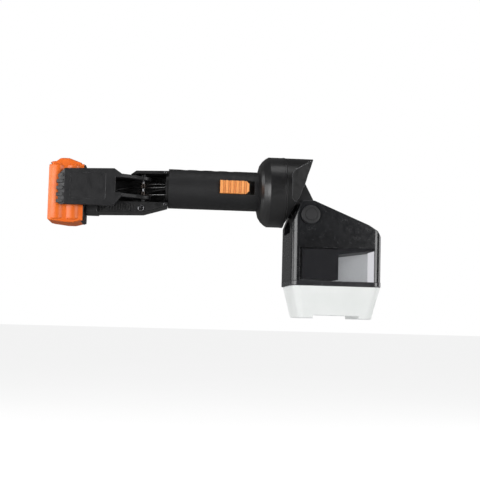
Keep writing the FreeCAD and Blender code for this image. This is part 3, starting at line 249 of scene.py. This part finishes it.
def spring_steel():
    """Bright wire, darkened by painted shade where the latch spring's coils sit on their pin."""
    look = Look("spring_steel")
    look.rough(0.15, 0.3, METAL_SCALE)
    split = look.nodes.new("ShaderNodeSeparateXYZ")
    look.link(look.coords, split.inputs["Vector"])
    along = look.nodes.new("ShaderNodeMapRange")
    along.inputs["From Min"].default_value = COIL_SHADE_X[0]
    along.inputs["From Max"].default_value = COIL_SHADE_X[1]
    look.link(split.outputs["X"], along.inputs["Value"])
    look.link(look.ramp(along.outputs["Result"], [(0.0, COIL_PAINTED_SHADE), (1.0, BRIGHT)]),
              look.shader.inputs["Base Color"])
    look.bump(look.noise(900.0, 3.0), 0.005 * MM, 0.4)
    look.put("Metallic", 1.0)
    return look.mat


PANE_HAZE = 0.012       # share of the light that the pane scatters
PANE_SHINE = 0.35       # share of the full reflection that the pane shows
PANE_TINTS = [(0.3, (0.80, 0.80, 0.82, 1)), (0.7, (0.84, 0.84, 0.86, 1))]


def smoked():
    """Tinted clear plastic: light passes straight through and the surface still reflects."""
    look = Look("smoked_clear")
    nodes, links = look.nodes, look.links
    gloss = nodes.new("ShaderNodeBsdfGlossy")
    gloss.inputs["Color"].default_value = (1, 1, 1, 1)
    clear = nodes.new("ShaderNodeBsdfTransparent")
    links.new(look.ramp(look.noise(14.0), PANE_TINTS), clear.inputs["Color"])
    links.new(look.ramp(look.noise(90.0), [(0.4, 0.06), (0.7, 0.14)]), gloss.inputs["Roughness"])
    fresnel = nodes.new("ShaderNodeFresnel")
    fresnel.inputs["IOR"].default_value = 1.45
    haze = nodes.new("ShaderNodeBsdfDiffuse")
    haze.inputs["Color"].default_value = (0.5, 0.5, 0.52, 1)
    body = nodes.new("ShaderNodeMixShader")
    body.inputs["Fac"].default_value = PANE_HAZE
    links.new(clear.outputs["BSDF"], body.inputs[1])
    links.new(haze.outputs["BSDF"], body.inputs[2])
    shine = nodes.new("ShaderNodeMath")
    shine.operation = "MULTIPLY"
    shine.inputs[1].default_value = PANE_SHINE
    links.new(fresnel.outputs["Fac"], shine.inputs[0])
    mix = nodes.new("ShaderNodeMixShader")
    links.new(shine.outputs["Value"], mix.inputs["Fac"])
    links.new(body.outputs["Shader"], mix.inputs[1])
    links.new(gloss.outputs["BSDF"], mix.inputs[2])
    links.new(mix.outputs["Shader"], nodes["Material Output"].inputs["Surface"])
    return look.mat


TRAY_PAINTED_GLOW = 0.18        # painted light: an even glow that brightens the thin white plastic, its shaded walls too, standing for light it passes on from all round
TRAY_DEPTH = 0.004      # how far light spreads inside it


def frosted():
    """Thin white plastic with a painted glow, as if lit from within."""
    look = Look("frosted_white")
    look.colour(rgb(210, 213, 211), rgb(220, 222, 221), 20.0)
    look.rough(0.55, 0.68, 150.0)
    look.grain(0.3, 0.02)
    look.put("Emission Color", (0.98, 1.0, 0.99, 1)).put("Emission Strength", TRAY_PAINTED_GLOW)
    look.put("Subsurface Weight", 0.25).put("Subsurface Scale", 0.6)
    look.put("Subsurface Radius", (TRAY_DEPTH, TRAY_DEPTH, TRAY_DEPTH))
    return look.mat


def make_materials():
    """One material for each slot of the record."""
    return {
        # some slots take painted shade in their crevices, and lighter sharp edges that are partly
        # edge wear, partly painted highlight
        "orange_shell": plastic(
            "orange_shell", rgb(238, 104, 22), rgb(247, 120, 34), (0.32, 0.45), 0.4, 0.02,
            wear_and_highlight=0.35, wear_and_highlight_colour=rgb(255, 176, 110), painted_shade=(0.35, 9.0)),
        "orange_switch": plastic(
            "orange_switch", rgb(248, 158, 84), rgb(255, 172, 100), (0.35, 0.5), 0.4, 0.02,
            wear_and_highlight=0.3, wear_and_highlight_colour=rgb(255, 205, 150), painted_shade=(0.5, 2.0)),
        "black_plastic": plastic("black_plastic", rgb(12, 12, 13), rgb(19, 19, 20), (0.38, 0.55)),
        "charcoal_plastic": plastic(
            "charcoal_plastic", rgb(20, 20, 22), rgb(27, 27, 29), (0.40, 0.52), 0.5, 0.03,
            wear_and_highlight=0.8, wear_and_highlight_colour=rgb(95, 95, 98)),
        "grey_plastic": plastic("grey_plastic", rgb(92, 92, 96), rgb(112, 112, 116), (0.4, 0.6)),
        "cell_wrap": plastic(
            "cell_wrap", rgb(40, 86, 140), rgb(48, 98, 156), (0.2, 0.3), 1.5, 0.02, wear_and_highlight=0),
        "nickel": metal("nickel", (0.62, 0.6, 0.55, 1), (0.72, 0.7, 0.65, 1), (0.2, 0.4)),
        "circuit_board": plastic(
            "circuit_board", rgb(14, 82, 42), rgb(22, 104, 56), (0.25, 0.4), 2.0, 0.05, wear_and_highlight=0),
        "brass": metal("brass", (0.75, 0.55, 0.25, 1), (0.85, 0.65, 0.32, 1), (0.2, 0.35)),
        "dark_steel": metal("dark_steel", (0.2, 0.2, 0.21, 1), (0.28, 0.28, 0.29, 1), (0.2, 0.35)),
        "screw_steel": metal(
            "screw_steel", (0.5, 0.5, 0.52, 1), (0.62, 0.62, 0.63, 1), (0.22, 0.4)),
        "spring_steel": spring_steel(),
        "motor_steel": metal(
            "motor_steel", (0.4, 0.4, 0.42, 1), (0.5, 0.5, 0.52, 1), (0.3, 0.45), stretch=(1, 12, 1)),
        "motor_iron": metal("motor_iron", (0.3, 0.27, 0.24, 1), (0.42, 0.38, 0.34, 1), (0.4, 0.6)),
        "bearing_bronze": metal(
            "bearing_bronze", (0.45, 0.3, 0.15, 1), (0.58, 0.4, 0.22, 1), (0.35, 0.5)),
        "cable_rubber": plastic(
            "cable_rubber", rgb(20, 20, 21), rgb(30, 30, 31), (0.5, 0.65), 0.8, 0.03, wear_and_highlight=0),
        "belt_rubber": plastic(
            "belt_rubber", rgb(24, 24, 24), rgb(34, 34, 34), (0.6, 0.75), 0.6, 0.04, wear_and_highlight=0),
        "soft_rubber": plastic(
            "soft_rubber", rgb(30, 30, 31), rgb(42, 42, 43), (0.6, 0.8), 0.7, 0.06, wear_and_highlight=0),
        "grip_rubber": plastic(
            "grip_rubber", rgb(15, 15, 17), rgb(23, 23, 25), (0.50, 0.64), 0.7, 0.06, wear_and_highlight=0.2),
        "collar_gloss": plastic(
            "collar_gloss", rgb(19, 19, 20), rgb(26, 26, 27), (0.3, 0.4), 1.5, 0.02,
            wear_and_highlight=0.15, wear_and_highlight_colour=rgb(90, 90, 92), coat=0.2),
        "hood_black": hood_black(),
        "head_black": plastic(
            "head_black", rgb(20, 20, 22), rgb(30, 31, 33), (0.18, 0.28), 8.0, 0.012,
            wear_and_highlight=0.2, wear_and_highlight_colour=rgb(110, 110, 113), coat=0.3),
        "button_black": plastic("button_black", rgb(26, 26, 28), rgb(33, 33, 35), (0.4, 0.5)),
        "case_black": plastic("case_black", rgb(9, 9, 11), rgb(15, 15, 18), (0.45, 0.6)),
        "rim_gloss": plastic(
            "rim_gloss", rgb(40, 40, 42), rgb(50, 51, 53), (0.18, 0.28), 1.0, 0.01,
            wear_and_highlight=0.4, wear_and_highlight_colour=rgb(130, 130, 132), coat=0.4),
        "smoked_clear": smoked(),
        "frosted_white": frosted(),
    }


CREASE_DEG = 32.0       # edges sharper than this stay creased


def smooth(obj, angle=CREASE_DEG):
    """Smooth shading with creases kept at sharp edges."""
    mesh = obj.data
    limit = math.radians(angle)
    mesh.polygons.foreach_set("use_smooth", [True] * len(mesh.polygons))
    if mesh.has_custom_normals:
        with bpy.context.temp_override(object=obj, active_object=obj, selected_objects=[obj]):
            bpy.ops.mesh.customdata_custom_splitnormals_clear()
    bm = bmesh.new()
    bm.from_mesh(mesh)
    for edge in bm.edges:
        edge.smooth = len(edge.link_faces) == 2 and edge.calc_face_angle(0.0) < limit
    bm.to_mesh(mesh)
    bm.free()


MATERIALS = make_materials()
SLOT_OF = {s["node"]: s["material_slot"] for s in frame["record"]["subparts"]}


def dress_nodes():
    """Every CAD node takes the material of its slot."""
    for name, obj in NODES.items():
        obj.data.materials.clear()
        obj.data.materials.append(MATERIALS[SLOT_OF[name]])
        smooth(obj)


# ---- springs -------------------------------------------------------------------------------------
WIRE_R = 0.6 * MM
WIRE_CREASE_DEG = 50.0
LATCH_COIL_R = 3.3 * MM
UPPER_COIL = (-1.5 * MM, 5.7 * MM, 4.5)      # height of its bottom, rise, turns
LOWER_COIL = (-10.4 * MM, 4.0 * MM, 3.0)
UPPER_FRONT_LEG_Z, UPPER_BACK_LEG_Z = 1.2 * MM, 5.0 * MM
LOWER_FRONT_LEG_Z = -8.4 * MM
SHORT_LEG, SHORT_LEG_Z = 7 * MM, -6.4 * MM   # the lower coil's free end
LEG_GAP = 0.5 * MM      # how far the legs stop short of the CAD spring's end
LOCK_TURNS, LOCK_STEPS = 6.0, 24
CLOSED_END = 0.12       # share of the lock spring's turns that lie close at each end
CLOSED_RISE = 0.1       # share of its length that rises evenly through all turns


def sweep(name, path, radius, sides=10):
    """A round wire through the points of a path, with closed ends."""
    points = [Vector(p) for p in path]
    bm = bmesh.new()
    rings = []
    side = (points[1] - points[0]).orthogonal().normalized()
    for i, point in enumerate(points):
        along = (points[min(i + 1, len(points) - 1)] - points[max(i - 1, 0)]).normalized()
        side = (side - along * side.dot(along)).normalized()
        other = along.cross(side)
        turns = [2 * math.pi * k / sides for k in range(sides)]
        spokes = [side * math.cos(a) + other * math.sin(a) for a in turns]
        rings.append([bm.verts.new(point + spoke * radius) for spoke in spokes])
    for low, high in zip(rings, rings[1:]):
        for k in range(sides):
            n = (k + 1) % sides
            bm.faces.new((low[k], low[n], high[n], high[k]))
    bm.faces.new(list(reversed(rings[0])))
    bm.faces.new(rings[-1])
    bmesh.ops.recalc_face_normals(bm, faces=bm.faces)
    mesh = bpy.data.meshes.new(name)
    bm.to_mesh(mesh)
    bm.free()
    piece = bpy.data.objects.new(name, mesh)
    bpy.context.scene.collection.objects.link(piece)
    piece.data.materials.append(MATERIALS["spring_steel"])
    smooth(piece, WIRE_CREASE_DEG)
    return piece


def coil(centre, radius, rise, turns, start_deg, steps=20):
    """Points of a helix about a Z axis, turning clockwise seen from above."""
    count = int(turns * steps)
    points = []
    for i in range(count + 1):
        a = math.radians(start_deg - 360.0 * i / steps)
        points.append((centre[0] + radius * math.cos(a), centre[1] + radius * math.sin(a),
                       centre[2] + rise * i / count))
    return points


def latch_springs():
    """The lever's torsion spring: two coils on the pin, with legs that run into the grip."""
    pin_low, pin_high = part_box("latch_pin")
    x, y = (pin_low[0] + pin_high[0]) / 2, (pin_low[1] + pin_high[1]) / 2
    end_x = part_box("latch_spring")[1][0] - LEG_GAP
    front, back = y - LATCH_COIL_R, y + LATCH_COIL_R
    coils = []
    for bottom, rise, turns in (UPPER_COIL, LOWER_COIL):
        coils.append(coil((x, y, bottom), LATCH_COIL_R, rise, turns, -90))
    upper = [(end_x, front, UPPER_FRONT_LEG_Z)] + coils[0] + [(end_x, back, UPPER_BACK_LEG_Z)]
    lower = [(end_x, front, LOWER_FRONT_LEG_Z)] + coils[1] + [(x - SHORT_LEG, front, SHORT_LEG_Z)]
    for name, path in (("latch_spring_upper", upper), ("latch_spring_lower", lower)):
        piece = sweep(name, path, WIRE_R)
        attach(piece, "handle")
        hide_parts("latch_spring")


def lock_button_spring():
    """Compression spring behind the tilt lock button."""
    low, high = (Vector(c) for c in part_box("lock_spring"))
    middle = (low + high) / 2
    r = (high.x - low.x) / 2 - WIRE_R
    length = high.y - low.y - 2 * WIRE_R
    points = []
    count = int(LOCK_TURNS * LOCK_STEPS)
    for i in range(count + 1):
        a = 2 * math.pi * i / LOCK_STEPS
        t = i / count
        eased = min(max((t - CLOSED_END) / (1 - 2 * CLOSED_END), 0.0), 1.0)
        travel = (1 - CLOSED_RISE) * eased + CLOSED_RISE * t
        points.append((middle.x + r * math.cos(a), low.y + WIRE_R + length * travel,
                       middle.z + r * math.sin(a)))
    piece = sweep("lock_button_spring", points, WIRE_R)
    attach(piece, "head")
    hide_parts("lock_spring")
    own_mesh(piece)


# ---- studio --------------------------------------------------------------------------------------
VIEW_DISTANCE = 1.25
VIEW_AZIMUTH, VIEW_ELEVATION, VIEW_ROLL = -5.0, -4.5, 1.5
VIEW_SHIFT = (-0.0334, 0.0619)     # the grip's middle in the view, right and up from its centre
LENS_MM, SENSOR_MM = 75.0, 36.0
WHITE = (1.0, 1.0, 1.0, 1)
FLOOR_Z, FLOOR_SIZE = -0.40, 40.0
FLOOR_GLOW = 0.85       # added to the floor for the camera only
ROOM_FRONT, ROOM_BACK, ROOM_TOP = 0.01, 0.10, 0.04   # brightness of the room towards each side
# soft boxes: name, place, target, size, power in watts
LIGHTS = (
    ("left_box", (-1.25, -0.95, 0.0), (-0.02, 0, -0.03), (1.5, 1.0), 23.0),
    ("left_back_box", (-1.5, 0.4, 0.2), (0.05, 0, -0.05), (0.8, 1.1), 7.0),
    ("right_back_box", (1.5, 0.35, 0.1), (0.15, 0, -0.05), (0.9, 1.0), 7.0),
    ("right_box", (0.95, -1.15, 0.0), (0.05, 0, -0.05), (0.7, 1.0), 12.0),
    ("top_box", (0.0, -0.35, 1.35), (0.0, 0, 0), (1.5, 0.6), 5.0),
)


def add_camera():
    az, el, roll = (math.radians(a) for a in (VIEW_AZIMUTH, VIEW_ELEVATION, VIEW_ROLL))
    back = Vector((math.sin(az) * math.cos(el), -math.cos(az) * math.cos(el), math.sin(el)))
    right = Vector((math.cos(az), math.sin(az), 0))
    up = back.cross(right)
    across = right * math.cos(roll) + up * math.sin(roll)
    upward = -right * math.sin(roll) + up * math.cos(roll)
    place = back * VIEW_DISTANCE - across * VIEW_SHIFT[0] - upward * VIEW_SHIFT[1]
    camera = bpy.data.objects.new("camera", bpy.data.cameras.new("camera"))
    bpy.context.scene.collection.objects.link(camera)
    camera.matrix_world = Matrix((across, upward, back)).transposed().to_4x4()
    camera.location = place
    camera.data.lens = LENS_MM
    camera.data.sensor_width = SENSOR_MM
    camera.data.clip_end = 50.0
    bpy.context.scene.camera = camera


def add_light(name, place, target, size, power):
    light = bpy.data.lights.new(name, "AREA")
    light.shape = "RECTANGLE"
    light.size, light.size_y = size
    light.energy = power
    obj = bpy.data.objects.new(name, light)
    bpy.context.scene.collection.objects.link(obj)
    obj.location = place
    obj.rotation_euler = (Vector(target) - Vector(place)).to_track_quat("-Z", "Y").to_euler()


def camera_only(tree, seen, lit):
    """Mixes two shaders: the first for what the camera sees, the second for the light it gives."""
    path = tree.nodes.new("ShaderNodeLightPath")
    mix = tree.nodes.new("ShaderNodeMixShader")
    tree.links.new(path.outputs["Is Camera Ray"], mix.inputs["Fac"])
    tree.links.new(lit, mix.inputs[1])
    tree.links.new(seen, mix.inputs[2])
    return mix.outputs["Shader"]


def add_floor():
    """Pale paper, clear when seen from below so that the underside can be looked at."""
    bpy.ops.mesh.primitive_plane_add(size=FLOOR_SIZE, location=(0, 0, FLOOR_Z))
    floor = bpy.context.active_object
    floor.name = "floor"
    look = Look("floor_paper")
    look.colour((0.42, 0.42, 0.42, 1), (0.46, 0.46, 0.46, 1), 2.0)
    look.rough(0.7, 0.8, 5.0)
    glow = look.nodes.new("ShaderNodeEmission")
    glow.inputs["Strength"].default_value = FLOOR_GLOW
    both = look.nodes.new("ShaderNodeAddShader")
    look.link(look.shader.outputs["BSDF"], both.inputs[0])
    look.link(glow.outputs["Emission"], both.inputs[1])
    surface = camera_only(look.mat.node_tree, both.outputs["Shader"], look.shader.outputs["BSDF"])
    side = look.nodes.new("ShaderNodeNewGeometry")
    clear = look.nodes.new("ShaderNodeBsdfTransparent")
    one_way = look.nodes.new("ShaderNodeMixShader")
    look.link(side.outputs["Backfacing"], one_way.inputs["Fac"])
    look.link(surface, one_way.inputs[1])
    look.link(clear.outputs["BSDF"], one_way.inputs[2])
    look.link(one_way.outputs["Shader"], look.nodes["Material Output"].inputs["Surface"])
    floor.data.materials.append(look.mat)


def add_world():
    """A white backdrop for the camera, and for light a room that is bright above and behind."""
    world = bpy.data.worlds.new("studio")
    bpy.context.scene.world = world
    world.use_nodes = True
    tree = world.node_tree
    room = tree.nodes["Background"]
    room.inputs["Color"].default_value = WHITE
    backdrop = tree.nodes.new("ShaderNodeBackground")
    backdrop.inputs["Color"].default_value = WHITE
    split = tree.nodes.new("ShaderNodeSeparateXYZ")
    tree.links.new(tree.nodes.new("ShaderNodeTexCoord").outputs["Generated"], split.inputs["Vector"])
    parts = []
    for axis, start, low, high in (("Y", -0.6, ROOM_FRONT, ROOM_BACK), ("Z", 0.1, 0.0, ROOM_TOP)):
        level = tree.nodes.new("ShaderNodeMapRange")
        level.interpolation_type = "SMOOTHSTEP"
        level.inputs["From Min"].default_value = start
        level.inputs["From Max"].default_value = 0.9
        level.inputs["To Min"].default_value = low
        level.inputs["To Max"].default_value = high
        tree.links.new(split.outputs[axis], level.inputs["Value"])
        parts.append(level.outputs["Result"])
    total = tree.nodes.new("ShaderNodeMath")
    total.operation = "ADD"
    tree.links.new(parts[0], total.inputs[0])
    tree.links.new(parts[1], total.inputs[1])
    tree.links.new(total.outputs["Value"], room.inputs["Strength"])
    surface = camera_only(tree, backdrop.outputs["Background"], room.outputs["Background"])
    tree.links.new(surface, tree.nodes["World Output"].inputs["Surface"])


def studio():
    add_world()
    add_floor()
    for light in LIGHTS:
        add_light(*light)
    add_camera()
    bpy.context.scene.view_settings.view_transform = "Standard"


dress_nodes()
latch_springs()
lock_button_spring()
studio()
